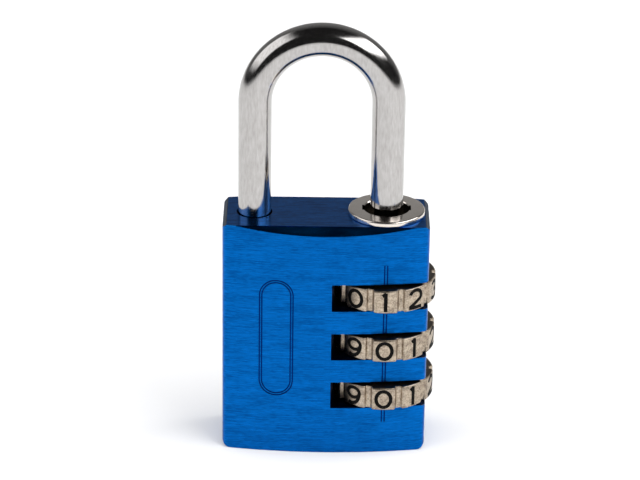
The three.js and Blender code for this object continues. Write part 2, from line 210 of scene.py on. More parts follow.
MILL_MARKS = (6.0, 0.36)  # a real cutter's marks are near 0.1 apart; drawn coarser so that they show
TOP_BRUSH_SCALE = 0.35  # the sawn top is brushed with a belt about three times as coarse
ANODISED_BLUE = (0x03529C, 0x056AC2)
MILLED_BLUE = (0x056AC2, 0x0E96FF)
# the engraving floor's dull navy is painted shade for the recess
ENGRAVING_PAINTED_SHADE = (0x032566, 0x043480)
# the slot walls' deep navy is painted shade, so the slots read dark
SLOT_PAINTED_SHADE = (0x01162F, 0x022C66)
BARE_EDGE = (0x47536A, 0x6A7886)
SLOPED = 0.35  # a face tilts when its normal has more than this along two axes
BEVEL_DROP = 1.5  # the bevels' faces have their middles within this of the top


def corners(node):
    """A CAD node's lowest and highest corners, in millimetres."""
    low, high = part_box(node)
    return Vector(low) / MM, Vector(high) / MM


casing_low, casing_high = corners("casing")
collar_low, collar_high = corners("collar")
wheel_nodes = ["number_wheel_1", "number_wheel_2", "number_wheel_3"]
wheel_low, wheel_high = corners(wheel_nodes[0])
shackle_low, shackle_high = corners("shackle")
HALF_WIDTH = casing_high.x
TOP = casing_high.z
AXIS_X = (wheel_low.x + wheel_high.x) / 2
WHEEL_RADIUS = (wheel_high.x - wheel_low.x) / 2
LEG_RADIUS = 2.4
TOE_X = shackle_low.x + LEG_RADIUS
STACK_RADIUS = 4.6


def arc(centre_x, centre_y, radius, start, end, steps):
    """Points of a circular arc, angles in radians, both ends included."""
    turn = [start + (end - start) * i / steps for i in range(steps + 1)]
    return [(centre_x + radius * math.cos(a), centre_y + radius * math.sin(a)) for a in turn]


def casing_outline(inset=0.0):
    """The extrusion's plan: two shallow arcs joined by rounded corners, anticlockwise."""
    edge = CASING_EDGE_DEPTH / 2 - inset
    face_radius = (HALF_WIDTH**2 + FACE_BULGE**2) / (2 * FACE_BULGE)
    centre = face_radius - edge - FACE_BULGE
    corner_x = HALF_WIDTH - CORNER_RADIUS
    reach = face_radius - CORNER_RADIUS
    corner_y = math.sqrt(reach**2 - corner_x**2) - centre
    sweep = math.asin(corner_x / reach)
    quarter = math.pi / 2
    points = arc(0, centre, face_radius, -quarter - sweep, -quarter + sweep, FACE_STRIPS)
    points += arc(corner_x, -corner_y, CORNER_RADIUS, -quarter + sweep, 0, 8)[1:]
    points += arc(corner_x, corner_y, CORNER_RADIUS, 0, quarter - sweep, 8)
    points += arc(0, -centre, face_radius, quarter - sweep, quarter + sweep, FACE_STRIPS)[1:]
    points += arc(-corner_x, corner_y, CORNER_RADIUS, quarter + sweep, math.pi, 8)[1:]
    points += arc(-corner_x, -corner_y, CORNER_RADIUS, math.pi, 3 * quarter - sweep, 8)[:-1]
    return points


def new_object(name, mesh):
    made = bpy.data.objects.new(name, mesh)
    bpy.context.collection.objects.link(made)
    return made


def prism(name, outline, low, high, along="Z"):
    """A closed solid: an outline in the plane across an axis, run from low to high along it."""
    turned = {
        "X": lambda a, b, c: (c, a, b),
        "Y": lambda a, b, c: (a, c, b),
        "Z": lambda a, b, c: (a, b, c),
    }[along]
    count = len(outline)
    points = [Vector(turned(a, b, c)) * MM for c in (low, high) for a, b in outline]
    sides = [(i, (i + 1) % count, count + (i + 1) % count, count + i) for i in range(count)]
    faces = [tuple(reversed(range(count))), tuple(range(count, 2 * count)), *sides]
    mesh = bpy.data.meshes.new(name)
    mesh.from_pydata(points, [], faces)
    work = bmesh.new()
    work.from_mesh(mesh)
    bmesh.ops.recalc_face_normals(work, faces=work.faces)
    work.to_mesh(mesh)
    work.free()
    return new_object(name, mesh)


def block(name, low, high):
    """A box between two corners."""
    outline = [(low[0], low[1]), (high[0], low[1]), (high[0], high[1]), (low[0], high[1])]
    return prism(name, outline, low[2], high[2])


def rod(name, x, radius, low, high, sides=96):
    """An upright cylinder."""
    return prism(name, arc(x, 0, radius, 0, 2 * math.pi, sides)[:-1], low, high)


def finished(piece, *scrap):
    """Turns a piece and its live modifiers into one plain mesh, and clears the cutters away."""
    graph = bpy.context.evaluated_depsgraph_get()
    mesh = bpy.data.meshes.new_from_object(piece.evaluated_get(graph))
    piece.modifiers.clear()
    old = piece.data
    piece.data = mesh
    if old.users == 0 and isinstance(old, bpy.types.Mesh):
        bpy.data.meshes.remove(old)
    for item in scrap:
        bpy.data.objects.remove(item)
    return piece


def carve(piece, cutters, operation="DIFFERENCE"):
    """Cuts a list of solids out of a piece, one after another. A cutter's material lines its cut."""
    for cutter in cutters:
        cut = piece.modifiers.new(cutter.name, "BOOLEAN")
        cut.object = cutter
        cut.operation = operation
        cut.solver = "EXACT"
        cut.material_mode = "TRANSFER" if cutter.data.materials else "INDEX"
    return finished(piece, *cutters)


def break_edges(piece, width, segments=2, angle=30, material=-1):
    """Rounds every sharp edge a little, as tumbling or polishing does."""
    bevel = piece.modifiers.new("edge_break", "BEVEL")
    bevel.width = width * MM
    bevel.segments = segments
    bevel.limit_method = "ANGLE"
    bevel.angle_limit = math.radians(angle)
    bevel.use_clamp_overlap = False
    bevel.material = material
    return finished(piece)


def shade(piece, sharp_angle=38):
    """Smooth shading that keeps flat faces flat and sharp edges sharp."""
    piece.data.polygons.foreach_set("use_smooth", [True] * len(piece.data.polygons))
    piece.data.set_sharp_from_angle(angle=math.radians(sharp_angle))
    even = piece.modifiers.new("even_normals", "WEIGHTED_NORMAL")
    even.keep_sharp = True
    even.weight = 50
    return piece


def stadium(inset):
    """The engraved panel's outline: a long slot shape, drawn in X and Z."""
    low_x, high_x = PANEL_X[0] + inset, PANEL_X[1] - inset
    low_z, high_z = PANEL_Z[0] + inset, PANEL_Z[1] - inset
    radius = (high_x - low_x) / 2
    middle = (low_x + high_x) / 2
    return (arc(middle, high_z - radius, radius, 0, math.pi, 24)
            + arc(middle, low_z + radius, radius, math.pi, 2 * math.pi, 24))


def streaks(tree):
    """Fine lines along the brushing: along X on the faces and the top, along Y on the ends."""
    place = add(tree, "ShaderNodeTexCoord")
    spot = add(tree, "ShaderNodeSeparateXYZ", {"Vector": place.outputs["Object"]})
    facing = add(tree, "ShaderNodeSeparateXYZ", {"Vector": place.outputs["Normal"]})
    on_end = add(tree, "ShaderNodeMath", {0: facing.outputs["X"]}, operation="ABSOLUTE")
    on_end = add(tree, "ShaderNodeMath", {0: on_end.outputs[0], 1: 0.75}, operation="GREATER_THAN")
    on_top = add(tree, "ShaderNodeMath", {0: facing.outputs["Z"]}, operation="ABSOLUTE")
    on_top = add(tree, "ShaderNodeMath", {0: on_top.outputs[0], 1: 0.5}, operation="GREATER_THAN")
    along = add(tree, "ShaderNodeMix", {
        "Factor": on_end.outputs[0], "A": spot.outputs["X"], "B": spot.outputs["Y"]})
    coarse = add(tree, "ShaderNodeMath", {
        0: spot.outputs["Y"], 1: TOP_BRUSH_SCALE}, operation="MULTIPLY")
    across = add(tree, "ShaderNodeMix", {
        "Factor": on_top.outputs[0], "A": spot.outputs["Z"], "B": coarse.outputs[0]})
    return add(tree, "ShaderNodeCombineXYZ", {
        "X": along.outputs["Result"], "Y": across.outputs["Result"], "Z": facing.outputs["X"]})


def grain(tree, place, length, width, detail=2.0):
    """Noise stretched into lines of a real length and width, in millimetres."""
    scaled = add(tree, "ShaderNodeVectorMath", {
        0: place.outputs[0], 1: (1 / (length * MM), 1 / (width * MM), 1.0)}, operation="MULTIPLY")
    return add(tree, "ShaderNodeTexNoise", {
        "Vector": scaled.outputs[0], "Scale": 1.0, "Detail": detail, "Roughness": 0.6}).outputs["Fac"]


def speckle(tree, per_mm, detail):
    """An even, cloudy pattern with so many spots to the millimetre."""
    place = add(tree, "ShaderNodeTexCoord")
    return add(tree, "ShaderNodeTexNoise", {
        "Vector": place.outputs["Object"], "Scale": per_mm / MM, "Detail": detail}).outputs["Fac"]


def blank_material(name):
    made = bpy.data.materials.new(name)
    made.use_nodes = True
    return made, made.node_tree, made.node_tree.nodes["Principled BSDF"]


def metal_finish(tree, shader, colours, pattern, spread, roughness):
    """Metal whose colour runs from one sRGB value to another as a pattern crosses its spread. Roughness is
    one number, or (pattern, low, high, first, last) where a pattern varies it too."""
    share = add(tree, "ShaderNodeMapRange", {
        "Value": pattern, "From Min": spread[0], "From Max": spread[1]})
    colour = add(tree, "ShaderNodeMix", {
        "Factor": share.outputs["Result"], "A": linear(colours[0]), "B": linear(colours[1])},
        data_type="RGBA")
    tree.links.new(colour.outputs["Result"], shader.inputs["Base Color"])
    shader.inputs["Metallic"].default_value = 1.0
    if isinstance(roughness, tuple):
        shine, low, high, first, last = roughness
        varied = add(tree, "ShaderNodeMapRange", {
            "Value": shine, "From Min": low, "From Max": high, "To Min": first, "To Max": last})
        tree.links.new(varied.outputs["Result"], shader.inputs["Roughness"])
    else:
        shader.inputs["Roughness"].default_value = roughness
    return colour.outputs["Result"]


def brushed_anodised_aluminium():
    """Dyed anodising over brushed metal: saturated, without a white sheen, with fine dark scratches."""
    made, tree, shader = blank_material("brushed_anodised_aluminium")
    place = streaks(tree)
    long_lines = grain(tree, place, BRUSH_LENGTH, BRUSH_WIDTH)
    short_lines = grain(tree, place, BRUSH_LENGTH / 4, BRUSH_WIDTH, 3.0)
    mottle = grain(tree, place, *BRUSH_PATCH)
    both = add(tree, "ShaderNodeMath", {0: long_lines, 1: short_lines}, operation="ADD")
    patches = add(tree, "ShaderNodeMath", {0: mottle, 1: 0.5}, operation="MULTIPLY")
    tone = add(tree, "ShaderNodeMath", {0: both.outputs[0], 1: patches.outputs[0]}, operation="ADD")
    metal_finish(
        tree, shader, ANODISED_BLUE, tone.outputs[0], (1.07, 1.38), (long_lines, 0.3, 0.7, 0.34, 0.27))
    bump = add(tree, "ShaderNodeBump", {
        "Height": both.outputs[0], "Strength": 0.25, "Distance": 0.01 * MM})
    tree.links.new(bump.outputs["Normal"], shader.inputs["Normal"])
    across = add(tree, "ShaderNodeCombineXYZ", {"Y": 0.05, "Z": 1.0})
    tree.links.new(across.outputs["Vector"], shader.inputs["Tangent"])
    shader.inputs["Anisotropic"].default_value = BRUSH_ANISOTROPY
    return made


def milled_anodised_aluminium():
    """The bevels' milled finish under the dye: smoother than the brushing, so it mirrors the dark room."""
    made, tree, shader = blank_material("milled_anodised_aluminium")
    lines = grain(tree, streaks(tree), *MILL_MARKS)
    metal_finish(tree, shader, MILLED_BLUE, lines, (0.35, 0.65), (lines, 0.3, 0.7, 0.1, 0.18))
    return made


def engraved_anodised_aluminium():
    """The rough floor of the engraving, painted darker as shade in the recess: a dull navy line."""
    made, tree, shader = blank_material("engraved_anodised_aluminium")
    metal_finish(tree, shader, ENGRAVING_PAINTED_SHADE, speckle(tree, 8, 2.0), (0, 1), 0.5)
    return made


def machined_aluminium():
    """Bare metal where a chamfer was cut through the dye: grey, with faint tool lines."""
    made, tree, shader = blank_material("machined_aluminium")
    metal_finish(tree, shader, BARE_EDGE, grain(tree, streaks(tree), 2.0, 0.1), (0, 1), 0.45)
    return made


def sawn_anodised_aluminium():
    """The walls the slotting saw left: rough, and painted deep navy as shade, so the slots read dark."""
    made, tree, shader = blank_material("sawn_anodised_aluminium")
    metal_finish(tree, shader, SLOT_PAINTED_SHADE, grain(tree, streaks(tree), 1.5, 0.15), (0, 1), 0.45)
    return made


casing = prism("casing_shell", casing_outline(), 0, TOP)
for material in (brushed_anodised_aluminium(), machined_aluminium(), milled_anodised_aluminium()):
    casing.data.materials.append(material)
far = casing_high.y + 2 * PAST
bevels = []
for side in (-1, 1):
    flat = TOP_FLAT_DEPTH / 2
    wedge = [(side * flat, TOP), (side * far, TOP - (far - flat)),
             (side * far, TOP + PAST), (side * flat, TOP + PAST)]
    bevels.append(prism("top_bevel", wedge, -HALF_WIDTH - PAST, HALF_WIDTH + PAST, "X"))
    chamfer, drop = TOP_SIDE_CHAMFER
    inner, outer = HALF_WIDTH - chamfer, HALF_WIDTH + PAST
    wedge = [(side * inner, TOP), (side * outer, TOP - drop * (outer - inner) / chamfer),
             (side * outer, TOP + PAST), (side * inner, TOP + PAST)]
    bevels.append(prism("side_chamfer", wedge, -far, far, "Y"))
    centre = side * (HALF_WIDTH - BASE_EDGE_RADIUS)
    last = math.pi / 2 * (side - 1)
    round_corner = arc(centre, BASE_EDGE_RADIUS, BASE_EDGE_RADIUS, -math.pi / 2, last, 10)
    round_corner += [(side * outer, BASE_EDGE_RADIUS), (side * outer, -PAST), (centre, -PAST)]
    bevels.append(prism("base_edge", round_corner, -far, far, "Y"))
carve(casing, bevels)
slots = []
# The slot cutters line each slot with painted shade: deep navy walls.
slot_shade = sawn_anodised_aluminium()
for node in wheel_nodes:
    low, high = corners(node)
    floor = low.z - SLOT_FLOOR_GAP
    slots.append(block(
        "wheel_slot", (low.x - SLOT_END_GAP, -far, floor), (HALF_WIDTH + PAST, far, floor + SLOT_HEIGHT)))
    slots[-1].data.materials.append(slot_shade)
slots.append(rod("stack_bore", AXIS_X, STACK_RADIUS, -PAST, TOP + PAST))
slots.append(rod("toe_hole", TOE_X, LEG_RADIUS + TOE_HOLE_CLEARANCE, TOP - TOE_HOLE_DEPTH, TOP + PAST))
carve(casing, slots)
break_edges(casing, EDGE_BREAK)
engraved = []
core = prism("engraving_floor", casing_outline(ENGRAVING_DEPTH), -PAST, TOP + PAST)
for side in (-1, 1):
    middle = AXIS_X + side * INDEX_LINE_SPACING / 2
    engraved.append(block(
        "index_line", (middle - ENGRAVING_WIDTH / 2, -far, INDEX_LINE_SPAN[0]),
        (middle + ENGRAVING_WIDTH / 2, 0, INDEX_LINE_SPAN[1])))
for inset in (0, PANEL_LINE_SPACING):
    ring = prism("panel_line", stadium(inset), -far, 0, "Y")
    carve(ring, [prism("panel_middle", stadium(inset + ENGRAVING_WIDTH), -far - PAST, PAST, "Y")])
    engraved.append(ring)
# The engraved lines get painted shade: a darker navy on their floors.
engraving_shade = engraved_anodised_aluminium()
for cutter in engraved:
    trim = cutter.modifiers.new("floor", "BOOLEAN")
    trim.object = core
    trim.solver = "EXACT"
    finished(cutter)
    cutter.data.materials.append(engraving_shade)
bpy.data.objects.remove(core)
chamfer_x = HALF_WIDTH - TOP_SIDE_CHAMFER[0] - EDGE_BREAK
for face in casing.data.polygons:
    if face.normal.z > SLOPED and abs(face.normal.x) > SLOPED and abs(face.center.x) > chamfer_x * MM:
        face.material_index = 1
    if face.normal.z > SLOPED and abs(face.normal.y) > SLOPED and face.center.z > (TOP - BEVEL_DROP) * MM:
        face.material_index = 2
carve(casing, engraved)
shade(casing)
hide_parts("casing")
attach(casing, "casing")

# ---- Base plug ----
# A turned aluminium disc pressed into the bore from below once the code stack is in.
PLUG_EDGE_BREAK = 0.15

plug_low, plug_high = corners("base_plug")
plug = rod("base_plug_disc", AXIS_X, (plug_high.x - plug_low.x) / 2, plug_low.z, plug_high.z)
break_edges(plug, PLUG_EDGE_BREAK)
plug.data.materials.append(casing.data.materials[0])
shade(plug)
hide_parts("base_plug")
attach(plug, "casing")

# ---- Code stack ----
# Three brass sleeves with steel rings between them, a steel seat and a coil spring: hidden working
# parts, bare turned metal, lightly oiled.
BRASS = (0x96743A, 0xC79F58)
RING_STEEL = (0x82827F, 0xB4B4B2)
SPRING_STEEL = (0x6E6E6C, 0x9C9C9A)


def turned_metal(name, colours, roughness):
    """Bare turned metal: fine rings round the axis, a little tarnish in patches."""
    made, tree, shader = blank_material(name)
    place = add(tree, "ShaderNodeTexCoord")
    spot = add(tree, "ShaderNodeVectorMath", {
        0: place.outputs["Object"], 1: (0.2 / MM, 0.2 / MM, 12 / MM)}, operation="MULTIPLY")
    rings = add(tree, "ShaderNodeTexNoise", {"Vector": spot.outputs[0], "Scale": 1.0, "Detail": 2.0})
    tarnish = speckle(tree, 0.4, 4.0)
    tone = add(tree, "ShaderNodeMath", {0: rings.outputs["Fac"], 1: tarnish}, operation="ADD")
    metal_finish(tree, shader, colours, tone.outputs[0], (0.75, 1.25), roughness)
    bump = add(tree, "ShaderNodeBump", {
        "Height": rings.outputs["Fac"], "Strength": 0.2, "Distance": 0.01 * MM})
    tree.links.new(bump.outputs["Normal"], shader.inputs["Normal"])
    return made


def refinish(node, material):
    """Gives a CAD node that stays on show a finished material."""
    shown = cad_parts[node]
    shown.data.materials.clear()
    shown.data.materials.append(material)


turned_brass = turned_metal("turned_brass", BRASS, 0.32)
ground_steel = turned_metal("ground_steel", RING_STEEL, 0.3)
spring_steel = turned_metal("drawn_spring_steel", SPRING_STEEL, 0.28)
for number in (1, 2, 3):
    refinish(f"code_sleeve_{number}", turned_brass)
for ring_node in ("top_spacer", "spacer_1", "spacer_2", "spring_seat"):
    refinish(ring_node, ground_steel)
refinish("reset_spring", spring_steel)

# ---- Detent springs ----
# A thin bowed strip of spring steel at the blind end of each slot, pressed to shape. Its crest is drawn
# pushed back to the pads' radius, as it stands while a wheel turns, so it clears them at every angle.
STRIP_THICKNESS = 0.2
STRIP_EDGE_BREAK = 0.03
CREST_HALF_WIDTH = 1.0
CREST_CLEARANCE = 0.04
STRIP_STEPS = 40

for number in (1, 2, 3):
    low, high = corners(f"detent_spring_{number}")
    bow = wheel_low.x - CREST_CLEARANCE - low.x - STRIP_THICKNESS
    front, back = [], []
    for step in range(STRIP_STEPS + 1):
        y = low.y + (high.y - low.y) * step / STRIP_STEPS
        swell = math.cos(math.pi / 2 * min(1, abs(y) / CREST_HALF_WIDTH)) ** 2
        front.append((low.x + STRIP_THICKNESS + bow * swell, y))
        back.append((low.x + bow * swell, y))
    strip = prism(f"detent_strip_{number}", back[::-1] + front, low.z, high.z)
    break_edges(strip, STRIP_EDGE_BREAK, 1, 40)
    strip.data.materials.append(spring_steel)
    shade(strip, 40)
    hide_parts(f"detent_spring_{number}")
    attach(strip, "casing")

# ---- Number wheels ----
# Die-cast zinc rings, nickel plated: ten raised pads with rounded rims between flat-bottomed grooves.
PAD_COUNT = 10
GROOVE_WIDTH = 1.2
GROOVE_FLOOR = 0.7
GROOVE_DEPTH = 0.55
WHEEL_BORE = 4.6
RIM_ROUND = 0.28
PAD_EDGE_BREAK = 0.2
RING_STEPS = 200
PLATED = (0x85786B, 0xC9BAA6)
# painted shade: the dark colour given to the wheels' flat tops and undersides
FLAT_FACE_PAINTED_SHADE = 0x4C453C
# the rims' pale plating is a painted highlight
RIM_PAINTED_HIGHLIGHT = (0xC9BAA6, 0xFAF5EE)


def wheel_tree(material):
    """Geometry Nodes: a ring with rounded rims, with straight grooves cut round it."""
    tree = bpy.data.node_groups.new("number_wheel", "GeometryNodeTree")
    tree.interface.new_socket("Geometry", in_out="INPUT", socket_type="NodeSocketGeometry")
    for name in ("Radius", "Height", "Bore Radius", "Rim Round",
                 "Groove Width", "Groove Floor", "Groove Depth"):
        tree.interface.new_socket(name, in_out="INPUT", socket_type="NodeSocketFloat")
    tree.interface.new_socket("Pads", in_out="INPUT", socket_type="NodeSocketInt")
    tree.interface.new_socket("Centre", in_out="INPUT", socket_type="NodeSocketVector")
    tree.interface.new_socket("Geometry", in_out="OUTPUT", socket_type="NodeSocketGeometry")
    size = add(tree, "NodeGroupInput").outputs

    def maths(operation, a, b):
        return add(tree, "ShaderNodeMath", {0: a, 1: b}, operation=operation).outputs[0]

    wall = maths("SUBTRACT", size["Radius"], size["Bore Radius"])
    middle = maths("MULTIPLY", maths("ADD", size["Radius"], size["Bore Radius"]), 0.5)
    rail = add(tree, "GeometryNodeCurvePrimitiveCircle", {"Resolution": RING_STEPS, "Radius": middle})
    section = add(tree, "GeometryNodeCurvePrimitiveQuadrilateral", {
        "Width": wall, "Height": size["Height"]})
    rounded = add(tree, "GeometryNodeFilletCurve", {
        "Curve": section.outputs[0], "Radius": size["Rim Round"], "Count": 4}, mode="POLY")
    ring_mesh = add(tree, "GeometryNodeCurveToMesh", {
        "Curve": rail.outputs["Curve"], "Profile Curve": rounded.outputs["Curve"]})
    spots = add(tree, "GeometryNodeMeshCircle", {"Vertices": size["Pads"], "Radius": size["Radius"]})
    step = maths("DIVIDE", 2 * math.pi, size["Pads"])
    index = add(tree, "GeometryNodeInputIndex").outputs[0]
    turn = add(tree, "ShaderNodeCombineXYZ", {"Z": maths("MULTIPLY", index, step)})
    cutter_size = add(tree, "ShaderNodeCombineXYZ", {
        "X": maths("MULTIPLY", size["Groove Depth"], 2.0), "Y": size["Groove Width"],
        "Z": maths("MULTIPLY", size["Height"], 1.5)})
    cutter = add(tree, "GeometryNodeMeshCube", {"Size": cutter_size.outputs[0]})
    place = add(tree, "GeometryNodeInputPosition")
    spot = add(tree, "ShaderNodeSeparateXYZ", {"Vector": place.outputs[0]}).outputs
    taper = maths("SUBTRACT", size["Groove Width"], size["Groove Floor"])
    taper = maths("DIVIDE", taper, size["Groove Depth"])
    taper = maths("DIVIDE", taper, size["Groove Width"])
    wider = maths("ADD", maths("MULTIPLY", spot["X"], taper), 1.0)
    flared_place = add(tree, "ShaderNodeCombineXYZ", {
        "X": spot["X"], "Y": maths("MULTIPLY", spot["Y"], wider), "Z": spot["Z"]})
    flared = add(tree, "GeometryNodeSetPosition", {
        "Geometry": cutter.outputs["Mesh"], "Position": flared_place.outputs[0]})
    cutters = add(tree, "GeometryNodeInstanceOnPoints", {
        "Points": spots.outputs["Mesh"], "Instance": flared.outputs["Geometry"],
        "Rotation": turn.outputs[0]})
    solid_cutters = add(tree, "GeometryNodeRealizeInstances", {
        "Geometry": cutters.outputs["Instances"]})
    cut = add(tree, "GeometryNodeMeshBoolean", operation="DIFFERENCE", solver="EXACT")
    tree.links.new(ring_mesh.outputs["Mesh"], cut.inputs["Mesh 1"])
    tree.links.new(solid_cutters.outputs["Geometry"], cut.inputs["Mesh 2"])
    moved = add(tree, "GeometryNodeTransform", {
        "Geometry": cut.outputs["Mesh"], "Translation": size["Centre"]})
    real = add(tree, "GeometryNodeRealizeInstances", {"Geometry": moved.outputs["Geometry"]})
    dressed = add(tree, "GeometryNodeSetMaterial", {
        "Geometry": real.outputs["Geometry"], "Material": material})
    add(tree, "NodeGroupOutput", {"Geometry": dressed.outputs["Geometry"]})
    return tree


def grow(piece, tree, **inputs):
    """Runs a node tree on a piece with its inputs set by name, and keeps the result as a plain mesh."""
    run = piece.modifiers.new(tree.name, "NODES")
    run.node_group = tree
    for item in tree.interface.items_tree:
        key = item.name.lower().replace(" ", "_")
        if item.item_type == "SOCKET" and item.in_out == "INPUT" and key in inputs:
            run[item.identifier] = inputs[key]
    return finished(piece)


def plated_die_casting():
    """Nickel over cast zinc: warm grey, satin, with the fine orange-peel grain of the casting, and painted
    shade that darkens the flat top and bottom faces.
    """
    made, tree, shader = blank_material("plated_die_casting")
    fine = speckle(tree, 4.5, 2.0)
    broad = speckle(tree, 1.1, 3.0)
    tone = add(tree, "ShaderNodeMath", {0: fine, 1: broad}, operation="ADD")
    plated = metal_finish(
        tree, shader, PLATED, tone.outputs[0], (0.75, 1.25), (broad, 0.3, 0.7, 0.3, 0.42))
    # Faces that look straight up or down blend towards a dark colour: painted shade on the flat faces.
    place = add(tree, "ShaderNodeTexCoord")
    facing = add(tree, "ShaderNodeSeparateXYZ", {"Vector": place.outputs["Normal"]})
    flat = add(tree, "ShaderNodeMath", {0: facing.outputs["Z"]}, operation="ABSOLUTE")
    flat_face_shade = add(tree, "ShaderNodeMapRange", {
        "Value": flat.outputs[0], "From Min": 0.8, "From Max": 0.95, "To Max": 0.9})
    colour = add(tree, "ShaderNodeMix", {
        "Factor": flat_face_shade.outputs["Result"], "A": plated, "B": linear(FLAT_FACE_PAINTED_SHADE)}, data_type="RGBA")
    tree.links.new(colour.outputs["Result"], shader.inputs["Base Color"])
    bump = add(tree, "ShaderNodeBump", {"Height": fine, "Strength": 0.6, "Distance": 0.03 * MM})
    tree.links.new(bump.outputs["Normal"], shader.inputs["Normal"])
    return made


def worn_plating():
    """Paler plating on every rim as a painted highlight: paler than the pads, with a soft sheen."""
    made, tree, shader = blank_material("worn_plating")
    metal_finish(tree, shader, RIM_PAINTED_HIGHLIGHT, speckle(tree, 2.5, 3.0), (0.3, 0.45), 0.5)
    return made


plating = plated_die_casting()
rim_highlight = worn_plating()
rings = wheel_tree(plating)
for number, node in enumerate(wheel_nodes, 1):
    low, high = corners(node)
    wheel = grow(
        new_object(f"number_ring_{number}", bpy.data.meshes.new("ring")), rings,
        radius=WHEEL_RADIUS * MM, height=(high.z - low.z) * MM, bore_radius=WHEEL_BORE * MM,
        rim_round=RIM_ROUND * MM, groove_width=GROOVE_WIDTH * MM, groove_floor=GROOVE_FLOOR * MM,
        groove_depth=GROOVE_DEPTH * MM, pads=PAD_COUNT,
        centre=(AXIS_X * MM, 0, (low.z + high.z) / 2 * MM))
    # The rims' edge breaks take the paler plating: a painted highlight.
    wheel.data.materials.append(rim_highlight)
    break_edges(wheel, PAD_EDGE_BREAK, angle=40, material=1)
    shade(wheel)
    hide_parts(node)
    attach(wheel, f"wheel_{number}")

# ---- Figures ----
# The digits 0 to 9, engraved in the pads and filled flush with black enamel.
STROKE = 0.54
FIGURE_RISE = 0.015
FIGURE_SINK = 0.08
FRONT_DIGITS = (1, 0, 0)
ARC_STEP = math.radians(8)
LINE_STEP = 0.15
ENAMEL = (0x030303, 0x0E0B09)


def bend(x, z, across, up, start, end):
    """Points of an elliptical arc of a figure, angles in degrees."""
    start, end = math.radians(start), math.radians(end)
    steps = max(2, round(abs(end - start) / ARC_STEP))
    turn = [start + (end - start) * i / steps for i in range(steps + 1)]
    return [(x + across * math.cos(a), z + up * math.sin(a)) for a in turn]


def figure_strokes(digit):
    """The pen's path for one figure, about 3 mm tall, centred on its pad."""
    return {
        0: [bend(0, 0, 1.08, 1.27, 0, 360)],
        1: [[(0, -1.5), (0, 1.5)], [(0.1, 1.42), (-0.5, 1.0)]],
        2: [bend(0, 0.55, 0.98, 0.9, 165, -38) + [(-1.02, -1.2)], [(-1.12, -1.27), (1.08, -1.27)]],
        3: [bend(-0.05, 0.62, 0.82, 0.66, 150, -90), bend(-0.05, -0.6, 0.95, 0.68, 90, -150)],
        4: [[(0.45, -1.5), (0.45, 1.5)], [(0.45, 1.4), (-1.1, -0.62), (1.15, -0.62)]],
        5: [[(0.95, 1.27), (-0.75, 1.27), (-0.88, 0.12)], bend(-0.05, -0.48, 0.98, 0.8, 140, -145)],
        6: [bend(0, -0.48, 1.0, 0.8, 0, 360), bend(0.25, -0.48, 1.25, 1.78, 180, 62)],
        7: [[(-1.05, 1.27), (1.05, 1.27), (-0.35, -1.5)]],
        8: [bend(0, 0.66, 0.78, 0.62, 0, 360), bend(0, -0.62, 0.98, 0.68, 0, 360)],
        9: [bend(0, 0.48, 1.0, 0.8, 0, 360), bend(-0.25, 0.48, 1.25, 1.78, 0, -118)],
    }[digit]


def ribbon(path, width):
    """The left and right edges of a stroke of even width along a path, in short steps that can wrap."""
    short = [path[0]]
    for start, end in zip(path, path[1:]):
        count = max(1, math.ceil(math.dist(start, end) / LINE_STEP))
        run = (end[0] - start[0], end[1] - start[1])
        short += [(start[0] + run[0] * i / count, start[1] + run[1] * i / count)
                  for i in range(1, count + 1)]
    path = short
    closed = math.dist(path[0], path[-1]) < 1e-6
    edges = []
    for i, (x, z) in enumerate(path):
        before = path[i - 1] if i else (path[-2] if closed else path[0])
        after = path[i + 1] if i + 1 < len(path) else (path[1] if closed else path[-1])
        run = Vector((after[0] - before[0], after[1] - before[1])).normalized()
        edges.append([(x - side * run.y * width / 2, z + side * run.x * width / 2) for side in (1, -1)])
    return edges


def wheel_point(x, z, radius, digit_angle, centre_z):
    """Wraps a flat point of a figure round the wheel."""
    angle = digit_angle + x / WHEEL_RADIUS
    return Vector((AXIS_X + radius * math.cos(angle), radius * math.sin(angle), centre_z + z)) * MM


def black_enamel():
    """Air-dried enamel in the engraving: deep black and nearly matt."""
    made, tree, shader = blank_material("black_enamel")
    colour = add(tree, "ShaderNodeMix", {
        "Factor": speckle(tree, 3, 3.0), "A": linear(ENAMEL[0]), "B": linear(ENAMEL[1])},
        data_type="RGBA")
    tree.links.new(colour.outputs["Result"], shader.inputs["Base Color"])
    shader.inputs["Roughness"].default_value = 0.6
    shader.inputs["Specular IOR Level"].default_value = 0.1
    return made


enamel = black_enamel()
for number, node in enumerate(wheel_nodes, 1):
    low, high = corners(node)
    centre_z = (low.z + high.z) / 2
    work = bmesh.new()
    for digit in range(PAD_COUNT):
        steps_round = digit - FRONT_DIGITS[number - 1]
        digit_angle = -math.pi / 2 + steps_round * 2 * math.pi / PAD_COUNT
        for path in figure_strokes(digit):
            edges = ribbon(path, STROKE)
            loops = [[[work.verts.new(wheel_point(x, z, WHEEL_RADIUS + lift, digit_angle, centre_z))
                       for x, z in pair] for lift in (FIGURE_RISE, -FIGURE_SINK)] for pair in edges]
            for one, two in zip(loops, loops[1:]):
                (a, b), (c, d) = one
                (e, f), (g, h) = two
                for corner_set in ((a, b, f, e), (c, g, h, d), (a, e, g, c), (b, d, h, f)):
                    work.faces.new(corner_set)
            for end in (loops[0], loops[-1]):
                work.faces.new((end[0][0], end[1][0], end[1][1], end[0][1]))
    bmesh.ops.remove_doubles(work, verts=work.verts, dist=1e-7)
    bmesh.ops.recalc_face_normals(work, faces=work.faces)
    mesh = bpy.data.meshes.new(f"wheel_figures_{number}")
    work.to_mesh(mesh)
    work.free()
    mesh.materials.append(enamel)
    figures = new_object(f"wheel_figures_{number}", mesh)
    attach(figures, f"wheel_{number}")

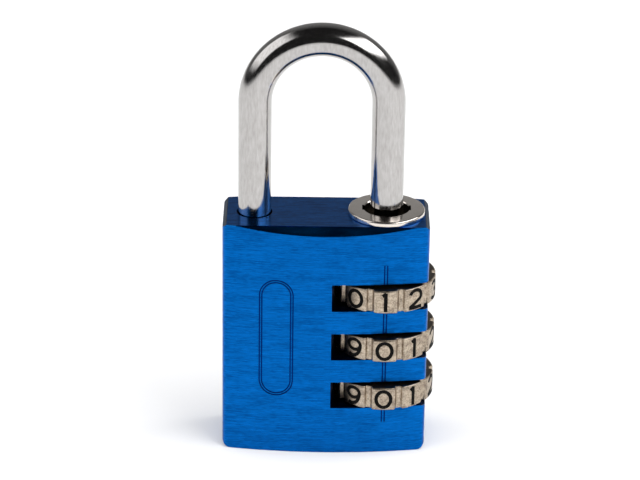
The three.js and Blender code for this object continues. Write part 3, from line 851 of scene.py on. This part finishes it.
# ---- Collar ----
# A flanged bush pressed round the long leg, turned from brass and nickel plated, with a keyed mouth.
FLANGE_RIM_ROUND = 0.3
BUSH_BORE = 2.0
MOUTH_RADIUS = 3.3
MOUTH_DEPTH = 2.0
KEYWAY_REACH = 3.55
KEYWAY_WIDTH = 1.8
FLANGE_UNDERSIDE = TOP + 0.03
PRESS_GAP = 0.05
FLANGE_BASE_CHAMFER = 0.1
MOUTH_CHAMFER = 0.12
NICKEL = (0xD0C8C0, 0xE6DFD8)
# the dark plate inside the collar's mouth is painted shade
MOUTH_PAINTED_SHADE = (0x35302B, 0x6A635A)


def polished_nickel():
    """Polished nickel plate: a warm mirror with a faint haze of fine wipe marks."""
    made, tree, shader = blank_material("polished_nickel")
    haze = speckle(tree, 0.8, 5.0)
    metal_finish(tree, shader, NICKEL, haze, (0, 1), (haze, 0.3, 0.7, 0.12, 0.24))
    return made


def dull_nickel():
    """Nickel painted dark inside the mouth, rough: painted shade, so the mouth reads as a deep shadow."""
    made, tree, shader = blank_material("dull_nickel")
    metal_finish(tree, shader, MOUTH_PAINTED_SHADE, speckle(tree, 2, 4.0), (0, 1), 0.3)
    return made


flange_radius = (collar_high.x - collar_low.x) / 2
rim_centre = flange_radius - FLANGE_RIM_ROUND
bush_radius = STACK_RADIUS - PRESS_GAP
mouth_floor = collar_high.z - MOUTH_DEPTH
profile = [(bush_radius, collar_low.z), (bush_radius, FLANGE_UNDERSIDE),
           (flange_radius - FLANGE_BASE_CHAMFER, FLANGE_UNDERSIDE),
           (flange_radius, FLANGE_UNDERSIDE + FLANGE_BASE_CHAMFER)]
profile += arc(rim_centre, collar_high.z - FLANGE_RIM_ROUND, FLANGE_RIM_ROUND, 0, math.pi / 2, 6)
profile += [(MOUTH_RADIUS + MOUTH_CHAMFER, collar_high.z), (MOUTH_RADIUS, collar_high.z - MOUTH_CHAMFER),
            (MOUTH_RADIUS, mouth_floor), (BUSH_BORE, mouth_floor), (BUSH_BORE, collar_low.z)]


def lathe(name, outline, x, steps=128):
    """A closed outline of radius and height, swept once round an upright axis."""
    count = len(outline)
    points = []
    for turn in range(steps):
        angle = 2 * math.pi * turn / steps
        points += [Vector((x + r * math.cos(angle), r * math.sin(angle), z)) * MM for r, z in outline]
    faces = []
    for turn in range(steps):
        here, there = turn * count, (turn + 1) % steps * count
        faces += [(here + i, there + i, there + (i + 1) % count, here + (i + 1) % count)
                  for i in range(count)]
    mesh = bpy.data.meshes.new(name)
    mesh.from_pydata(points, [], faces)
    work = bmesh.new()
    work.from_mesh(mesh)
    bmesh.ops.recalc_face_normals(work, faces=work.faces)
    work.to_mesh(mesh)
    work.free()
    return new_object(name, mesh)


collar = lathe("flanged_collar", profile, AXIS_X)
collar.data.materials.append(polished_nickel())
carve(collar, [block(
    "keyways", (AXIS_X - KEYWAY_REACH, -KEYWAY_WIDTH / 2, collar_low.z - PAST),
    (AXIS_X + KEYWAY_REACH, KEYWAY_WIDTH / 2, collar_high.z + PAST))])
# Faces deep in the mouth take painted shade.
collar.data.materials.append(dull_nickel())
for face in collar.data.polygons:
    spot = face.center / MM
    inside = math.hypot(spot.x - AXIS_X, spot.y) < KEYWAY_REACH + PRESS_GAP
    if inside and spot.z < collar_high.z - MOUTH_CHAMFER * 1.25:
        face.material_index = 1
shade(collar, 30)
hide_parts("collar")
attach(collar, "casing")

# ---- Shackle ----
# One bar of hardened steel, bent to a U, turned down to a spindle below the long leg, and chromed.
ARCH_STEPS = 96
TOE_CHAMFER = 0.5
SHOULDER_GAP = 0.35
SHOULDER_CHAMFER = 0.25
SPINDLE_RADIUS = 1.85
BAR_SIDES = 64
LUG = (1.5, 3.4, 1.8)  # width, reach from the axis and height
LUG_ROOT = 0.9  # inside the spindle, so the two join
TOE_DEPTH = 6.8
LEG_STATIONS = (40, 44, 48)
SPINDLE_TAPER = (0.3, 0.85)  # the height of the lead-in at the foot, and how far it narrows
CHROME = (0xA8A5A3, 0xBDBBBA)


def shackle_tree(material):
    """Geometry Nodes: a round bar swept along the shackle's centre line, thinned where it says."""
    tree = bpy.data.node_groups.new("shackle_bar", "GeometryNodeTree")
    tree.interface.new_socket("Geometry", in_out="INPUT", socket_type="NodeSocketGeometry")
    tree.interface.new_socket("Bar Radius", in_out="INPUT", socket_type="NodeSocketFloat")
    tree.interface.new_socket("Sides", in_out="INPUT", socket_type="NodeSocketInt")
    tree.interface.new_socket("Geometry", in_out="OUTPUT", socket_type="NodeSocketGeometry")
    size = add(tree, "NodeGroupInput").outputs
    section = add(tree, "GeometryNodeCurvePrimitiveCircle", {
        "Resolution": size["Sides"], "Radius": size["Bar Radius"]})
    thickness = add(tree, "GeometryNodeInputRadius")
    swept = add(tree, "GeometryNodeCurveToMesh", {
        "Curve": size["Geometry"], "Profile Curve": section.outputs["Curve"],
        "Scale": thickness.outputs[0], "Fill Caps": True})
    real = add(tree, "GeometryNodeRealizeInstances", {"Geometry": swept.outputs["Mesh"]})
    dressed = add(tree, "GeometryNodeSetMaterial", {
        "Geometry": real.outputs["Geometry"], "Material": material})
    add(tree, "NodeGroupOutput", {"Geometry": dressed.outputs["Geometry"]})
    return tree


def polished_chrome():
    """Bright chrome: a mirror with the slight waviness of polished bar and hairline marks along it."""
    made, tree, shader = blank_material("polished_chrome")
    place = add(tree, "ShaderNodeTexCoord")
    drawn = add(tree, "ShaderNodeVectorMath", {
        0: place.outputs["Object"], 1: (4 / MM, 4 / MM, 0.8 / MM)}, operation="MULTIPLY")
    marks = add(tree, "ShaderNodeTexNoise", {"Vector": drawn.outputs[0], "Scale": 1.0, "Detail": 5.0})
    marks = marks.outputs["Fac"]
    metal_finish(tree, shader, CHROME, marks, (0.3, 0.7), (marks, 0.35, 0.7, 0.1, 0.17))
    bump = add(tree, "ShaderNodeBump", {
        "Height": speckle(tree, 0.35, 2.0), "Strength": 0.1, "Distance": 0.02 * MM})
    tree.links.new(bump.outputs["Normal"], shader.inputs["Normal"])
    return made


arch_radius = (AXIS_X - TOE_X) / 2
arch_x = (AXIS_X + TOE_X) / 2
arch_z = shackle_high.z - LEG_RADIUS - arch_radius
toe_z = TOP - TOE_DEPTH
spindle_z = shackle_low.z
shoulder_z = collar_high.z + SHOULDER_GAP
neck = SPINDLE_RADIUS / LEG_RADIUS
line = [(TOE_X, toe_z, 1 - TOE_CHAMFER / LEG_RADIUS), (TOE_X, toe_z + TOE_CHAMFER, 1.0)]
line += [(TOE_X, z, 1.0) for z in LEG_STATIONS]
line += [(x, z, 1.0) for x, z in arc(arch_x, arch_z, arch_radius, math.pi, 0, ARCH_STEPS)]
line += [(AXIS_X, z, 1.0) for z in reversed(LEG_STATIONS)]
line += [(AXIS_X, shoulder_z + SHOULDER_CHAMFER, 1.0),
         (AXIS_X, shoulder_z, 1 - SHOULDER_CHAMFER / LEG_RADIUS),
         (AXIS_X, shoulder_z - 0.01, neck), (AXIS_X, spindle_z + SPINDLE_TAPER[0], neck),
         (AXIS_X, spindle_z, neck * SPINDLE_TAPER[1])]
centre_line = bpy.data.curves.new("shackle_line", "CURVE")
centre_line.dimensions = "3D"
spline = centre_line.splines.new("POLY")
spline.points.add(len(line) - 1)
for point, (x, z, thickness) in zip(spline.points, line):
    point.co = (x * MM, 0, z * MM, 1)
    point.radius = thickness
bar_path = new_object("shackle_line", centre_line)
sweep_bar = bar_path.modifiers.new("sweep", "NODES")
sweep_bar.node_group = shackle_tree(polished_chrome())
bar_sizes = {"Bar Radius": LEG_RADIUS * MM, "Sides": BAR_SIDES}
for item in sweep_bar.node_group.interface.items_tree:
    if item.in_out == "INPUT" and item.name in bar_sizes:
        sweep_bar[item.identifier] = bar_sizes[item.name]
graph = bpy.context.evaluated_depsgraph_get()
swept_mesh = bpy.data.meshes.new_from_object(bar_path.evaluated_get(graph))
bpy.data.objects.remove(bar_path)
shackle = new_object("shackle_bar", swept_mesh)
lug_width, lug_reach, lug_height = LUG
lugs = []
pitch = wheel_low.z - corners(wheel_nodes[1])[0].z
for number in (1, 2, 3):
    sleeve_low, sleeve_high = corners(f"code_sleeve_{number}")
    middle = sleeve_low.z - (pitch - (sleeve_high.z - sleeve_low.z)) / 2
    lugs.append(block(
        "lug", (AXIS_X - lug_width / 2, LUG_ROOT, middle - lug_height / 2),
        (AXIS_X + lug_width / 2, lug_reach, middle + lug_height / 2)))
carve(shackle, lugs, "UNION")
shade(shackle, 33)
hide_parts("shackle")
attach(shackle, "shackle")
